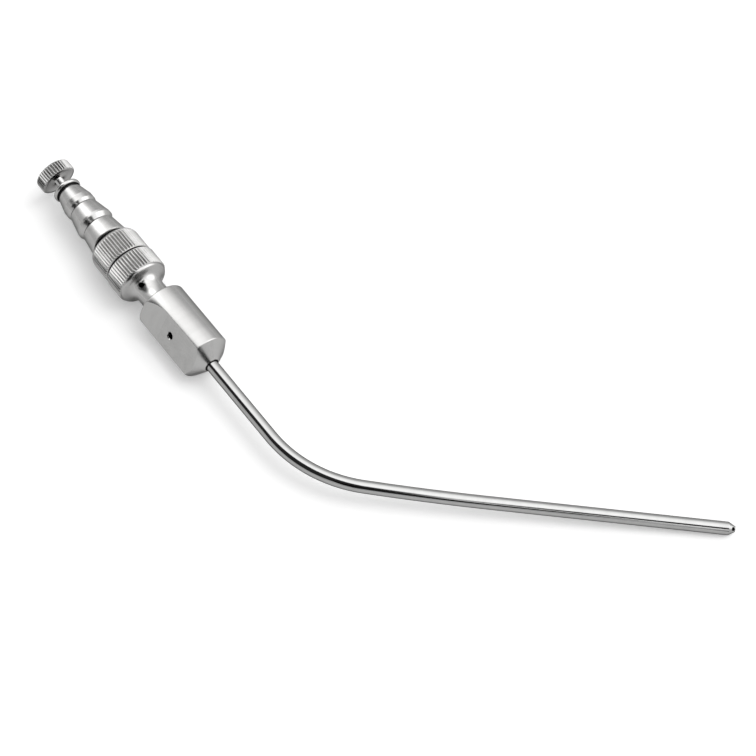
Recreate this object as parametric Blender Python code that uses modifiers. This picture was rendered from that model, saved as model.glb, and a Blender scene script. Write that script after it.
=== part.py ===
"""Surgical suction tip with a bent tube, a machined grip and a cleaning stylet, lying at rest.

The tool is modelled along +X, hose end behind and tip in front, with x = 0 at the front of the grip.
An empty then lays it down: the grip rests on its two widest rims and the tip of the tube touches too.
"""

import math

import bmesh
import bpy
from mathutils import Matrix, Vector

MM = 0.001

# Cylinder of the grip, from its front edge back
GRIP_RADIUS = 6.12
GRIP_LENGTH = 18.0
GRIP_EDGE = 0.45
FLAT_DISTANCE = 4.3
FLAT_RUN_OUT = 7.3
FLAT_CUTTER_RADIUS = 20.0
FLAT_TURN = math.radians(25.5)

# Nose
NOSE_LENGTH = 2.5
NOSE_END_RADIUS = 1.95
NOSE_EDGE = 0.35

# Neck between the grip and its knurled collar
NECK_LENGTH = 6.7
NECK_RADIUS = 3.5
NECK_FRONT_RADIUS = 4.1
NECK_WAIST = 3.3
NECK_FALL = 2.8

# Knurled collars
COLLAR_RADIUS = 6.43
COLLAR_LENGTH = 6.2
COLLAR_REAR_CHAMFER = 0.35
COLLAR_FRONT_EDGE = 0.75
COLLAR_LIP_END = 30
REAR_COLLAR_RADIUS = 6.27
REAR_COLLAR_LENGTH = 7.2
REAR_COLLAR_SHOULDER = 1.9
REAR_COLLAR_CHAMFER = 0.25
COLLAR_RIDGES = 50
KNURL_DEPTH = 0.34
KNURL_LAND = 0.08

# Joint between the connector and the grip
COLLAR_GROOVE = 0.4
SEAT_RADIUS = 5.3
SEAT_GAP = 0.05
SPIGOT_RADIUS = 4.3
SPIGOT_LENGTH = 4.0
SPIGOT_CHAMFER = 0.4
SPIGOT_CLEARANCE = 0.1
SPIGOT_END_CLEARANCE = 0.3

# Hose connector, cones listed from the hose end
CONE_START_RADII = (3.14, 3.76, 4.28)
CONE_END_RADII = (3.93, 4.68, 4.87)
CONE_LENGTHS = (5.95, 6.35, 5.2)
CONE_LANDS = (2.0, 1.4, 0.3)
CONE_EDGE = 0.28
COLLAR_UNDERCUT = 0.5
COLLAR_UNDERCUT_RADIUS = 4.2
LIP_RADIUS = 3.52
LIP_WIDTH = 1.1
LIP_EDGE = 0.45
LIP_GROOVE = 0.5
LIP_GROOVE_RADIUS = 2.8
CONNECTOR_BORE = 2.2

# Bores of the grip
GRIP_BORE = 1.6
VENT_RADIUS = 0.85
VENT_FROM_FRONT = 8.6
NECK_HOLE_RADIUS = 0.7
NECK_HOLE_FROM_FRONT = 23.0
NECK_HOLE_TURN = math.radians(60)

# Suction tube
TUBE_RADIUS = 1.5
TUBE_BORE = 1.0
TUBE_SOCKET_DEPTH = 8.0
TUBE_CLEARANCE = 0.05
TUBE_STRAIGHT = 22.8
TUBE_BEND_RADIUS = 31.8
TUBE_BEND = math.radians(44.4)
TUBE_EASE_RADIUS = 600.0
TUBE_EASE = math.radians(2.7)
TUBE_FRONT = 54.0
TIP_TAPER = 1.3
TIP_ROUND = math.radians(60)
TIP_RADIUS = 0.65
TIP_BORE = 0.42

# Stylet
KNOB_RADIUS = 4.6
KNOB_LENGTH = 3.0
KNOB_CHAMFER = 0.2
KNOB_FACE_RADIUS = 3.75
KNOB_FACE_DEPTH = 0.3
KNOB_RIDGES = 38
KNOB_DISTANCE = 3.0
KNOB_DROOP = math.radians(9.1)
KNOB_SWING = math.radians(3.3)
STEM_RADIUS = 1.1
STEM_EDGE = 0.3
STEM_CLEARANCE = 0.06
WIRE_RADIUS = 0.4
WIRE_SOCKET_DEPTH = 3.0
WIRE_CLEARANCE = 0.05
WIRE_SETTLE = 16.0
WIRE_SHORT_OF_TIP = 3.0

# Facets
TURNED_STEPS = 50
TUBE_STEPS = 24
BEND_STEPS = 14
EASE_STEPS = 3
ARC_STEPS = 4
EDGE_STEPS = 2
OVERSHOOT = 2.0

# Places along the tool
GRIP_REAR = -GRIP_LENGTH
COLLAR_FRONT = GRIP_REAR - NECK_LENGTH
COLLAR_SMOOTH_RADIUS = COLLAR_RADIUS - KNURL_DEPTH - 0.03
COLLAR_REAR = COLLAR_FRONT - COLLAR_LENGTH
REAR_COLLAR_FRONT = COLLAR_REAR - COLLAR_GROOVE
REAR_COLLAR_REAR = REAR_COLLAR_FRONT - REAR_COLLAR_LENGTH
CONES_FRONT = REAR_COLLAR_REAR - COLLAR_UNDERCUT
CONES_REAR = CONES_FRONT - sum(CONE_LENGTHS)
LIP_FRONT = CONES_REAR - LIP_GROOVE
LIP_REAR = LIP_FRONT - LIP_WIDTH
KNOB_FRONT = LIP_REAR - KNOB_DISTANCE
SPIGOT_FRONT = COLLAR_REAR - SEAT_GAP + SPIGOT_LENGTH
TUBE_REAR = NOSE_LENGTH - TUBE_SOCKET_DEPTH


def clear_scene():
    for old in list(bpy.data.objects):
        bpy.data.objects.remove(old, do_unlink=True)


def new_collection(name):
    collection = bpy.data.collections.new(name)
    bpy.context.scene.collection.children.link(collection)
    return collection


def steel(name, colour, roughness):
    material = bpy.data.materials.new(name)
    material.use_nodes = True
    shader = material.node_tree.nodes["Principled BSDF"]
    shader.inputs["Base Color"].default_value = (*colour, 1)
    shader.inputs["Metallic"].default_value = 1
    shader.inputs["Roughness"].default_value = roughness
    return material


def arc(x, r, radius, start, end, steps=ARC_STEPS):
    """Points of a round stretch about (x, r), with angles in degrees from +X towards the outside."""
    angles = [math.radians(start + (end - start) * i / steps) for i in range(steps + 1)]
    return [(x + radius * math.cos(a), r + radius * math.sin(a)) for a in angles]


def signed_area(outline):
    ends = outline[1:] + outline[:1]
    return sum(a[0] * b[1] - b[0] * a[1] for a, b in zip(outline, ends)) / 2


def turned(name, outline, collection, steps=TURNED_STEPS):
    """Solid of revolution about X from a closed outline of (x, radius) points in millimetres."""
    if signed_area(outline) > 0:
        outline = outline[::-1]
    mesh = bpy.data.meshes.new(name)
    points = [(x * MM, 0, r * MM) for x, r in outline]
    edges = [(i, (i + 1) % len(points)) for i in range(len(points))]
    mesh.from_pydata(points, edges, [])
    piece = bpy.data.objects.new(name, mesh)
    collection.objects.link(piece)
    screw = piece.modifiers.new("turned", "SCREW")
    screw.axis = "X"
    screw.steps = steps
    screw.render_steps = steps
    screw.use_merge_vertices = True
    screw.merge_threshold = 1e-7
    return piece


def mesh_from_curve(curve_object, collection):
    """Closed mesh in place of a curve object, so that a Boolean can use it."""
    graph = bpy.context.evaluated_depsgraph_get()
    mesh = bpy.data.meshes.new_from_object(curve_object.evaluated_get(graph))
    work = bmesh.new()
    work.from_mesh(mesh)
    bmesh.ops.remove_doubles(work, verts=work.verts, dist=1e-7)
    bmesh.ops.recalc_face_normals(work, faces=work.faces)
    work.to_mesh(mesh)
    work.free()
    name = curve_object.name
    place = curve_object.matrix_world.copy()
    bpy.data.objects.remove(curve_object, do_unlink=True)
    piece = bpy.data.objects.new(name, mesh)
    piece.matrix_world = place
    collection.objects.link(piece)
    return piece


def rod_along(name, path, radii, collection, steps=TUBE_STEPS):
    """Round bar along a list of points, with the radius at each point, in millimetres."""
    curve = bpy.data.curves.new(name, "CURVE")
    curve.dimensions = "3D"
    curve.bevel_depth = radii[0] * MM
    curve.bevel_resolution = steps // 2 - 1
    curve.use_fill_caps = True
    spline = curve.splines.new("POLY")
    spline.points.add(len(path) - 1)
    for point, place, radius in zip(spline.points, path, radii):
        point.co = (*(Vector(place) * MM), 1)
        point.radius = radius / radii[0]
    guide = bpy.data.objects.new(name, curve)
    collection.objects.link(guide)
    return mesh_from_curve(guide, collection)


def tube_path(start, beyond=0.0):
    """Centre line of the suction tube from x = start to a stretch beyond its tip, and its end direction."""
    x = NOSE_LENGTH + TUBE_STRAIGHT
    y = 0.0
    heading = 0.0
    path = [Vector((start, 0, 0)), Vector((x, y, 0))]
    bends = (
        (TUBE_BEND_RADIUS, TUBE_BEND, BEND_STEPS),
        (TUBE_EASE_RADIUS, TUBE_EASE, EASE_STEPS),
    )
    for radius, bend, steps in bends:
        for _ in range(steps):
            turned_to = heading + bend / steps
            x += radius * (math.sin(turned_to) - math.sin(heading))
            y += radius * (math.cos(heading) - math.cos(turned_to))
            heading = turned_to
            path.append(Vector((x, y, 0)))
    along = Vector((math.cos(heading), math.sin(heading), 0))
    path.append(path[-1] + along * (TUBE_FRONT + beyond))
    return path, along


def cut(piece, cutter, name):
    cutter.hide_render = True
    cutter.display_type = "WIRE"
    boolean = piece.modifiers.new(name, "BOOLEAN")
    boolean.operation = "DIFFERENCE"
    boolean.solver = "EXACT"
    boolean.object = cutter


def knurl_cutter(name, radius, ridges, rear, front, collection):
    """Ring whose hole is the outline of the ridges. It takes away what lies outside them."""
    peak = radius + KNURL_LAND
    root = radius - KNURL_DEPTH
    outline = []
    for i in range(2 * ridges):
        turn = math.pi * i / ridges
        reach = root if i % 2 == 0 else peak
        outline.append((reach * math.cos(turn), reach * math.sin(turn)))
    outside = []
    clear = radius + OVERSHOOT
    for i in range(ridges):
        turn = 2 * math.pi * i / ridges
        outside.append((clear * math.cos(turn), clear * math.sin(turn)))
    curve = bpy.data.curves.new(name, "CURVE")
    curve.dimensions = "2D"
    curve.fill_mode = "BOTH"
    curve.extrude = (front - rear) / 2 * MM
    for points in (outline, outside):
        spline = curve.splines.new("POLY")
        spline.points.add(len(points) - 1)
        spline.use_cyclic_u = True
        for point, (y, z) in zip(spline.points, points):
            point.co = (y * MM, z * MM, 0, 1)
    guide = bpy.data.objects.new(name, curve)
    guide.rotation_euler = (0, math.pi / 2, 0)
    guide.location = ((rear + front) / 2 * MM, 0, 0)
    collection.objects.link(guide)
    bpy.context.view_layer.update()
    return mesh_from_curve(guide, collection)


def drill(name, x, radius, turn, collection):
    """Cutter for a hole from the axis of the tool outwards, at an angle above the -Y side."""
    work = bmesh.new()
    length = GRIP_RADIUS + OVERSHOOT
    bmesh.ops.create_cone(
        work,
        cap_ends=True,
        segments=TUBE_STEPS,
        radius1=radius * MM,
        radius2=radius * MM,
        depth=length * MM,
        matrix=Matrix.Translation((0, 0, length / 2 * MM)),
    )
    mesh = bpy.data.meshes.new(name)
    work.to_mesh(mesh)
    work.free()
    cutter = bpy.data.objects.new(name, mesh)
    outwards = Vector((0, -math.cos(turn), math.sin(turn)))
    cutter.rotation_mode = "QUATERNION"
    cutter.rotation_quaternion = outwards.to_track_quat("Z", "Y")
    cutter.location = (x * MM, 0, 0)
    collection.objects.link(cutter)
    return cutter


def flat_cutter(name, turn, collection):
    """Slab that mills one flat from the front. Behind, it runs out along the round of the mill."""
    depth = GRIP_RADIUS - FLAT_DISTANCE + OVERSHOOT
    run_start = GRIP_REAR + FLAT_RUN_OUT
    centre = FLAT_DISTANCE + FLAT_CUTTER_RADIUS
    reach = math.degrees(math.acos((FLAT_CUTTER_RADIUS - depth) / FLAT_CUTTER_RADIUS))
    outline = arc(run_start, centre, FLAT_CUTTER_RADIUS, -90 - reach, -90, 2 * ARC_STEPS)
    outline.append((NOSE_LENGTH + OVERSHOOT, FLAT_DISTANCE))
    outline.append((NOSE_LENGTH + OVERSHOOT, FLAT_DISTANCE + depth))
    curve = bpy.data.curves.new(name, "CURVE")
    curve.dimensions = "2D"
    curve.fill_mode = "BOTH"
    curve.extrude = (GRIP_RADIUS + OVERSHOOT) * MM
    spline = curve.splines.new("POLY")
    spline.points.add(len(outline) - 1)
    spline.use_cyclic_u = True
    for point, (x, r) in zip(spline.points, outline):
        point.co = (x * MM, r * MM, 0, 1)
    guide = bpy.data.objects.new(name, curve)
    outwards = Vector((0, -math.cos(turn), math.sin(turn)))
    along = Vector((1, 0, 0))
    guide.matrix_world = Matrix((along, outwards, along.cross(outwards))).transposed().to_4x4()
    collection.objects.link(guide)
    bpy.context.view_layer.update()
    return mesh_from_curve(guide, collection)


def build_connector(collection, cutters):
    outline = [(LIP_REAR, CONNECTOR_BORE)]
    outline += arc(LIP_REAR + LIP_EDGE, LIP_RADIUS - LIP_EDGE, LIP_EDGE, 180, 90, EDGE_STEPS)
    outline += arc(LIP_FRONT - LIP_EDGE, LIP_RADIUS - LIP_EDGE, LIP_EDGE, 90, 0, EDGE_STEPS)
    outline += [(LIP_FRONT, LIP_GROOVE_RADIUS), (CONES_REAR, LIP_GROOVE_RADIUS)]
    start = CONES_REAR
    for r0, r1, length, land in zip(CONE_START_RADII, CONE_END_RADII, CONE_LENGTHS, CONE_LANDS):
        end = start + length
        outline += [(start, r0), (end - land - CONE_EDGE, r1)]
        outline += arc(end - CONE_EDGE, r1 - CONE_EDGE, CONE_EDGE, 90, 0, EDGE_STEPS)
        start = end
    outline += [(CONES_FRONT, COLLAR_UNDERCUT_RADIUS), (REAR_COLLAR_REAR, COLLAR_UNDERCUT_RADIUS)]
    shoulder = REAR_COLLAR_SHOULDER
    outline += arc(REAR_COLLAR_REAR + shoulder, REAR_COLLAR_RADIUS - shoulder, shoulder, 160, 90)
    outline += [
        (REAR_COLLAR_FRONT - REAR_COLLAR_CHAMFER, REAR_COLLAR_RADIUS),
        (REAR_COLLAR_FRONT, REAR_COLLAR_RADIUS - REAR_COLLAR_CHAMFER),
        (REAR_COLLAR_FRONT, SEAT_RADIUS),
        (COLLAR_REAR - SEAT_GAP, SEAT_RADIUS),
        (COLLAR_REAR - SEAT_GAP, SPIGOT_RADIUS),
        (SPIGOT_FRONT - SPIGOT_CHAMFER, SPIGOT_RADIUS),
        (SPIGOT_FRONT, SPIGOT_RADIUS - SPIGOT_CHAMFER),
        (SPIGOT_FRONT, CONNECTOR_BORE),
    ]
    piece = turned("hose_connector", outline, collection)
    rear = REAR_COLLAR_REAR + 0.3 * REAR_COLLAR_SHOULDER
    cutter = knurl_cutter(
        "rear_knurl_cutter", REAR_COLLAR_RADIUS, COLLAR_RIDGES, rear, REAR_COLLAR_FRONT + 0.1, cutters
    )
    cut(piece, cutter, "knurl")
    return piece


def build_grip(collection, cutters):
    socket_radius = SPIGOT_RADIUS + SPIGOT_CLEARANCE
    socket_end = SPIGOT_FRONT + SPIGOT_END_CLEARANCE
    tube_socket = TUBE_RADIUS + TUBE_CLEARANCE
    outline = [
        (COLLAR_REAR, socket_radius),
        (COLLAR_REAR, COLLAR_RADIUS - COLLAR_REAR_CHAMFER),
        (COLLAR_REAR + COLLAR_REAR_CHAMFER, COLLAR_RADIUS),
        (COLLAR_FRONT - COLLAR_FRONT_EDGE - KNURL_DEPTH, COLLAR_RADIUS),
        (COLLAR_FRONT - COLLAR_FRONT_EDGE, COLLAR_SMOOTH_RADIUS),
    ]
    edge = COLLAR_FRONT_EDGE
    outline += arc(COLLAR_FRONT - edge, COLLAR_SMOOTH_RADIUS - edge, edge, 80, COLLAR_LIP_END)
    outline += neck_points(*outline[-1])
    edge = GRIP_EDGE
    outline += arc(GRIP_REAR + edge, GRIP_RADIUS - edge, edge, 180, 90, EDGE_STEPS)
    outline += arc(-NOSE_EDGE, GRIP_RADIUS - NOSE_EDGE, NOSE_EDGE, 90, 30, EDGE_STEPS)
    outline += [
        (NOSE_LENGTH, NOSE_END_RADIUS),
        (NOSE_LENGTH, tube_socket),
        (TUBE_REAR - TUBE_CLEARANCE, tube_socket),
        (TUBE_REAR - TUBE_CLEARANCE - 0.2, GRIP_BORE),
        (socket_end + 0.5, GRIP_BORE),
        (socket_end, socket_radius),
    ]
    piece = turned("grip", outline, collection)
    knurl = knurl_cutter(
        "front_knurl_cutter",
        COLLAR_RADIUS,
        COLLAR_RIDGES,
        COLLAR_REAR - 0.1,
        COLLAR_FRONT - COLLAR_FRONT_EDGE + 0.05,
        cutters,
    )
    cut(piece, flat_cutter("vent_flat_cutter", FLAT_TURN, cutters), "vent flat")
    cut(piece, flat_cutter("far_flat_cutter", FLAT_TURN + math.pi, cutters), "far flat")
    cut(piece, drill("vent_drill", -VENT_FROM_FRONT, VENT_RADIUS, FLAT_TURN, cutters), "vent")
    neck_drill = drill("neck_drill", -NECK_HOLE_FROM_FRONT, NECK_HOLE_RADIUS, NECK_HOLE_TURN, cutters)
    cut(piece, neck_drill, "neck hole")
    cut(piece, knurl, "knurl")
    return piece


def neck_points(lip_x, lip_radius):
    """Waist of the neck: it falls on from the slope of the collar's lip, then opens towards the grip."""
    steps = 3 * ARC_STEPS
    waist = GRIP_REAR - NECK_WAIST
    points = []
    for i in range(1, steps + 1):
        x = lip_x + (GRIP_REAR - lip_x) * i / steps
        if x < waist:
            share = (waist - x) / (waist - lip_x)
            points.append((x, NECK_RADIUS + (lip_radius - NECK_RADIUS) * share**NECK_FALL))
        else:
            share = (x - waist) / NECK_WAIST
            points.append((x, NECK_RADIUS + (NECK_FRONT_RADIUS - NECK_RADIUS) * share**2))
    return points


def tapered_rod(name, start, full_radius, tip_radius, beyond, collection):
    """Rod on the centre line of the tube that tapers to tip_radius with a rounded shoulder."""
    path, along = tube_path(start, -TIP_TAPER)
    radii = [full_radius] * len(path)
    taper_start = path[-1]
    for i in range(1, ARC_STEPS + 1):
        turn = TIP_ROUND * i / ARC_STEPS
        share = (1 - math.cos(turn)) / (1 - math.cos(TIP_ROUND))
        path.append(taper_start + along * TIP_TAPER * math.sin(turn) / math.sin(TIP_ROUND))
        radii.append(full_radius + (tip_radius - full_radius) * share)
    if beyond:
        path.append(path[-1] + along * beyond)
        radii.append(tip_radius)
    return rod_along(name, path, radii, collection)


def build_tube(collection, cutters):
    piece = tapered_rod("suction_tube", TUBE_REAR, TUBE_RADIUS, TIP_RADIUS, 0, collection)
    bore_rear = TUBE_REAR - OVERSHOOT
    bore = tapered_rod("tube_bore_cutter", bore_rear, TUBE_BORE, TIP_BORE, OVERSHOOT, cutters)
    cut(piece, bore, "bore")
    return piece


def knob_place():
    """The stylet's stem leans on the wall of the connector's bore, so the knob sits askew."""
    lean = Matrix.Rotation(KNOB_SWING, 4, "Z") @ Matrix.Rotation(KNOB_DROOP, 4, "Y")
    return Matrix.Translation((KNOB_FRONT, 0, 0)) @ lean


def stem_length():
    """Distance from the knob's face at which the leaning stem meets the wall of the bore."""
    lean = math.acos(math.cos(KNOB_SWING) * math.cos(KNOB_DROOP))
    room = CONNECTOR_BORE - STEM_CLEARANCE - STEM_RADIUS * math.cos(lean)
    return STEM_EDGE + room / math.sin(lean)


def build_knob(collection, cutters):
    """Knob and stem about their own X axis, with x = 0 at the face that looks at the connector."""
    stem_front = stem_length()
    wire_socket = WIRE_RADIUS + WIRE_CLEARANCE
    outline = [
        (-KNOB_LENGTH, 0),
        (-KNOB_LENGTH, KNOB_RADIUS - KNOB_CHAMFER),
        (-KNOB_LENGTH + KNOB_CHAMFER, KNOB_RADIUS),
        (-KNOB_CHAMFER, KNOB_RADIUS),
        (0, KNOB_RADIUS - KNOB_CHAMFER),
        (0, KNOB_FACE_RADIUS),
        (-KNOB_FACE_DEPTH, KNOB_FACE_RADIUS - KNOB_FACE_DEPTH),
        (-KNOB_FACE_DEPTH, STEM_RADIUS),
        (stem_front - STEM_EDGE, STEM_RADIUS),
        (stem_front, STEM_RADIUS - STEM_EDGE),
        (stem_front, wire_socket),
        (stem_front - WIRE_SOCKET_DEPTH, wire_socket),
        (stem_front - WIRE_SOCKET_DEPTH, 0),
    ]
    piece = turned("stylet_knob", outline, collection, KNOB_RIDGES)
    cutter = knurl_cutter(
        "knob_knurl_cutter", KNOB_RADIUS, KNOB_RIDGES, -KNOB_LENGTH - 0.1, 0.1, cutters
    )
    cut(piece, cutter, "knurl")
    place = knob_place()
    place.translation *= MM
    cutter.matrix_world = place @ cutter.matrix_world
    piece.matrix_world = place
    return piece


def build_wire(collection):
    """Wire that leaves the leaning stem, settles onto the centre line and follows the tube."""
    place = knob_place()
    stem_front = stem_length()
    socket_end = place @ Vector((stem_front - WIRE_SOCKET_DEPTH + WIRE_CLEARANCE, 0, 0))
    leaves = place @ Vector((stem_front, 0, 0))
    slope = (place.to_3x3() @ Vector((1, 0, 0))) * WIRE_SETTLE
    path = [socket_end]
    for i in range(2 * ARC_STEPS):
        t = i / (2 * ARC_STEPS)
        off = leaves * (1 - t) ** 2 * (1 + 2 * t) + slope * t * (1 - t) ** 2
        path.append(Vector((leaves.x + WIRE_SETTLE * t, off.y, off.z)))
    path += tube_path(leaves.x + WIRE_SETTLE, -WIRE_SHORT_OF_TIP)[0]
    return rod_along("stylet_wire", path, [WIRE_RADIUS] * len(path), collection, 12)


def resting_turn():
    """Roll and pitch that bring the collar's rim, the grip's front rim and the tip down to one plane."""
    collar_rim = COLLAR_FRONT - COLLAR_FRONT_EDGE - KNURL_DEPTH
    pitch = math.atan((COLLAR_RADIUS - GRIP_RADIUS) / (-NOSE_EDGE - collar_rim))
    path, _ = tube_path(TUBE_REAR, -TIP_TAPER)
    touch_x, touch_y, _ = path[-1]
    height = GRIP_RADIUS / math.cos(pitch) - (touch_x + NOSE_EDGE) * math.tan(pitch)
    roll = math.asin((height - TUBE_RADIUS) / touch_y)
    return roll, pitch


def lay_down(pieces, cutters):
    """Turns the tool into its resting place and lifts it onto the ground plane."""
    roll, pitch = resting_turn()
    rest = bpy.data.objects.new("resting_place", None)
    bpy.context.scene.collection.objects.link(rest)
    for child in pieces + cutters:
        child.parent = rest
    turn = Matrix.Rotation(pitch, 4, "Y") @ Matrix.Rotation(-roll, 4, "X")
    rest.matrix_world = turn
    bpy.context.view_layer.update()
    graph = bpy.context.evaluated_depsgraph_get()
    corners = []
    for piece in pieces:
        shape = piece.evaluated_get(graph)
        corners += [shape.matrix_world @ vertex.co for vertex in shape.data.vertices]
    low = Vector([min(corner[axis] for corner in corners) for axis in range(3)])
    high = Vector([max(corner[axis] for corner in corners) for axis in range(3)])
    middle = (low + high) / 2
    rest.matrix_world = Matrix.Translation((-middle.x, -middle.y, -low.z)) @ turn
    bpy.context.view_layer.update()


def main():
    clear_scene()
    parts = new_collection("suction_tip")
    cutters = new_collection("cutters")
    satin = steel("satin_steel", (0.62, 0.62, 0.61), 0.28)
    polished = steel("polished_steel", (0.7, 0.7, 0.69), 0.12)
    pieces = {
        build_connector(parts, cutters): satin,
        build_grip(parts, cutters): satin,
        build_tube(parts, cutters): polished,
        build_knob(parts, cutters): satin,
        build_wire(parts): polished,
    }
    for piece, material in pieces.items():
        piece.data.materials.clear()
        piece.data.materials.append(material)
    lay_down(list(pieces), list(cutters.objects))


main()
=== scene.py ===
# %% [markdown]
# # Suction tip on a white table
#
# The object is a surgical suction tip: a thin bent steel tube on a machined grip, with a barbed hose
# connector behind and a cleaning stylet left inside. The solids come from a CAD model, and this script
# dresses them for a picture. It starts by loading those solids as a fixed frame that nothing may move.

# %% Load the solids
import math

import bmesh
import bpy
from mathutils import Matrix, Vector


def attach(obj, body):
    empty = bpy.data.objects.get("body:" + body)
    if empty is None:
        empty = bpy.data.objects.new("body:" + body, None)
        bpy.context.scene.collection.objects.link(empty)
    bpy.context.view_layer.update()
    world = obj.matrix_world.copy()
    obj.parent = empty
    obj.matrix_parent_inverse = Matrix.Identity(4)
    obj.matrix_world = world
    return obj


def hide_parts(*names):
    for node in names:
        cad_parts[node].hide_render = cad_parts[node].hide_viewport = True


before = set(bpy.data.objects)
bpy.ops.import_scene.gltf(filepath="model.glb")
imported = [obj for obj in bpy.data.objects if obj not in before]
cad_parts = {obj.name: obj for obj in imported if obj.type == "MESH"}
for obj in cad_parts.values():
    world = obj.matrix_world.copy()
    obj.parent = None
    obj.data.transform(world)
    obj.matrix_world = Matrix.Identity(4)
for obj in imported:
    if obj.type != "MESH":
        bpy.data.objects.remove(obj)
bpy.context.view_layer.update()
MM = 0.001
print("solids:", ", ".join(sorted(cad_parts)))

# %% [markdown]
# ## The camera
#
# The picture was taken from high up, at the side that the tube bends towards, with a long lens. The
# place of the camera was worked out from the rims and edges that show in the picture. It is set by two
# points, where it stands and where it looks, because that is how one thinks of a camera on a tripod.

# %% Camera
CAMERA_PLACE = Vector((0.185426, -0.1388, 0.400717))
CAMERA_AIM = Vector((0.005475, -0.001361, 0.0))
LENS = 95.23
NEAREST = 0.01

camera = bpy.data.objects.new("camera", bpy.data.cameras.new("camera"))
bpy.context.scene.collection.objects.link(camera)
camera.data.lens = LENS
camera.data.clip_start = NEAREST
camera.location = CAMERA_PLACE
camera.rotation_mode = "QUATERNION"
camera.rotation_quaternion = (CAMERA_AIM - CAMERA_PLACE).to_track_quat("-Z", "Y")
bpy.context.scene.camera = camera
print(f"camera {(CAMERA_AIM - CAMERA_PLACE).length:.3f} m from its aim")

# %% [markdown]
# ## A place to model, and how the tool lies
#
# Everything on this tool was turned on one axis, so it is easiest to model with that axis on +X, the
# hose end behind and the front edge of the grip at zero. The finished piece is then laid down: it rolls
# and pitches a little, since it lies on the rims of the collar and the grip and on the end of the tube.
# The turn is applied to the mesh, so every finished object sits at the origin.

# %% Laying a piece down
ROLL = math.radians(2.834)
PITCH = math.radians(0.698)
PLACE = Vector((-0.01986195, -0.03144857, 0.0061078))
LYING = Matrix.Translation(PLACE) @ Matrix.Rotation(PITCH, 4, "Y") @ Matrix.Rotation(-ROLL, 4, "X")


def only(piece):
    """Selects one object and nothing else."""
    bpy.ops.object.select_all(action="DESELECT")
    piece.select_set(True)
    bpy.context.view_layer.objects.active = piece


def put(piece, matrix):
    """Moves a piece and writes the move into its mesh."""
    only(piece)
    piece.matrix_world = matrix @ piece.matrix_world
    bpy.ops.object.transform_apply(location=True, rotation=True, scale=True)


def count(piece):
    """Prints how large a mesh has become."""
    print(f"{piece.name}: {len(piece.data.vertices)} vertices, {len(piece.data.polygons)} faces")


print("tool axis in the frame:", tuple(round(v, 4) for v in LYING.to_3x3() @ Vector((1, 0, 0))))

# %% [markdown]
# ## Turning on a lathe
#
# A lathe makes a shape that is the same all the way round. In Blender the same is done with Spin: a
# single vertex is extruded step by step into the outline, and Spin carries the outline round the axis.
# A closed outline gives a closed solid, also where it has a bore. The seam is merged afterwards and the
# normals are recalculated, because Spin may leave them inside out.

# %% Lathe
SEGMENTS = 192
MERGE = 1e-6
SMOOTH = math.radians(32)


def arc(x, r, radius, start, end, steps=6):
    """Points of a round stretch about (x, r), with angles in degrees from +X towards the outside."""
    angles = [math.radians(start + (end - start) * i / steps) for i in range(steps + 1)]
    return [(x + radius * math.cos(a), r + radius * math.sin(a)) for a in angles]


def new_vertex(name, place):
    """An object that is a single vertex, made from a plane whose corners are merged."""
    bpy.ops.object.select_all(action="DESELECT")
    bpy.ops.mesh.primitive_plane_add(size=MM, location=place)
    piece = bpy.context.object
    piece.name = piece.data.name = name
    bpy.ops.object.transform_apply(location=True, rotation=False, scale=False)
    bpy.ops.object.mode_set(mode="EDIT")
    bpy.ops.mesh.select_mode(type="VERT")
    bpy.ops.mesh.select_all(action="SELECT")
    bpy.ops.mesh.merge(type="CENTER")
    return piece


def close_up(piece, smooth=SMOOTH):
    """Merges doubles, turns the faces outwards, leaves edit mode and shades the piece."""
    bpy.ops.mesh.select_all(action="SELECT")
    bpy.ops.mesh.remove_doubles(threshold=MERGE)
    bpy.ops.mesh.normals_make_consistent(inside=False)
    bpy.ops.object.mode_set(mode="OBJECT")
    only(piece)
    bpy.ops.object.shade_smooth_by_angle(angle=smooth)


def turned(name, outline, segments=SEGMENTS, smooth=SMOOTH):
    """Solid turned about +X from a closed outline of (x, radius) points in millimetres."""
    x, r = outline[0]
    piece = new_vertex(name, (x * MM, 0, r * MM))
    for x_next, r_next in outline[1:] + outline[:1]:
        step = ((x_next - x) * MM, 0, (r_next - r) * MM)
        bpy.ops.mesh.extrude_region_move(TRANSFORM_OT_translate={"value": step})
        x, r = x_next, r_next
    bpy.ops.mesh.select_all(action="SELECT")
    bpy.ops.mesh.remove_doubles(threshold=MERGE)
    bpy.ops.mesh.spin(steps=segments, angle=2 * math.pi, center=(0, 0, 0), axis=(1, 0, 0))
    close_up(piece, smooth)
    return piece


# %% [markdown]
# ## Straight knurling
#
# The collars and the knob carry straight ridges for the fingers. On the real tool a knurling wheel
# presses them into a turned blank, so they fade out where the blank is chamfered. Here a circle with
# twelve vertices for each ridge is extruded ring by ring. A vertex stays on the section of the ridges
# where the blank leaves room, and is scaled in to the blank where it doesn't. That gives the pointed
# ends for free, without a Boolean.

# %% Section of the ridges
KNURL_DEPTH = 0.34
PER_RIDGE = 12
RIDGE_LAND = 0.012
RIDGE_PEAK = 0.08
RIDGE_FLOOR = 0.02


def ridge_section(crest):
    """Radius at each step from the crest of a ridge to the bottom of the groove beside it."""
    root = crest - KNURL_DEPTH
    peak = crest + RIDGE_PEAK
    half = PER_RIDGE // 2
    flank = [peak - (peak - root) * i / half for i in range(2, half)]
    return [crest, crest - RIDGE_LAND] + flank + [root + RIDGE_FLOOR]


print("from the crest down, in mm:", [round(-drop, 3) for drop in ridge_section(0)])

# %% Rings of vertices
ALMOST_FULL_TURN = 2 * math.pi - 1e-5
KNURL_SMOOTH = math.radians(50)


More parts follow.
